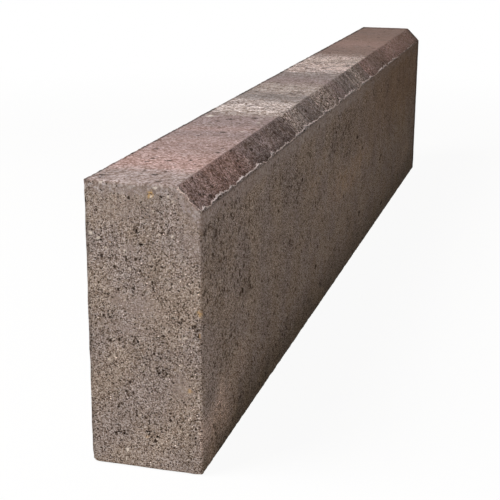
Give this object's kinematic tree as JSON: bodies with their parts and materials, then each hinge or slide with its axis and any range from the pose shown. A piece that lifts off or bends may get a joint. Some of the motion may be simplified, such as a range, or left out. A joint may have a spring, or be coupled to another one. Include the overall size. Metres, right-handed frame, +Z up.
{
  "type": "concrete kerb stone",
  "caption": "Straight concrete kerb stone that stands upright along a road or path, with a chamfered top edge on the road side and a streaked, coloured facing mix on top.",
  "frame": {"origin": "middle of the base that the stone stands on", "axes": "+Z up, +Y along the length, +X across the width, out of the road face, which has the chamfer at its top"},
  "size_m": [0.08, 1, 0.2],
  "materials": {
    "concrete": "rough, open-pored, through-coloured concrete with a streaked red, grey and cream facing mix at the top"
  },
  "bodies": {
    "root": {"kerb_stone": "concrete"}
  },
  "joints": []
}
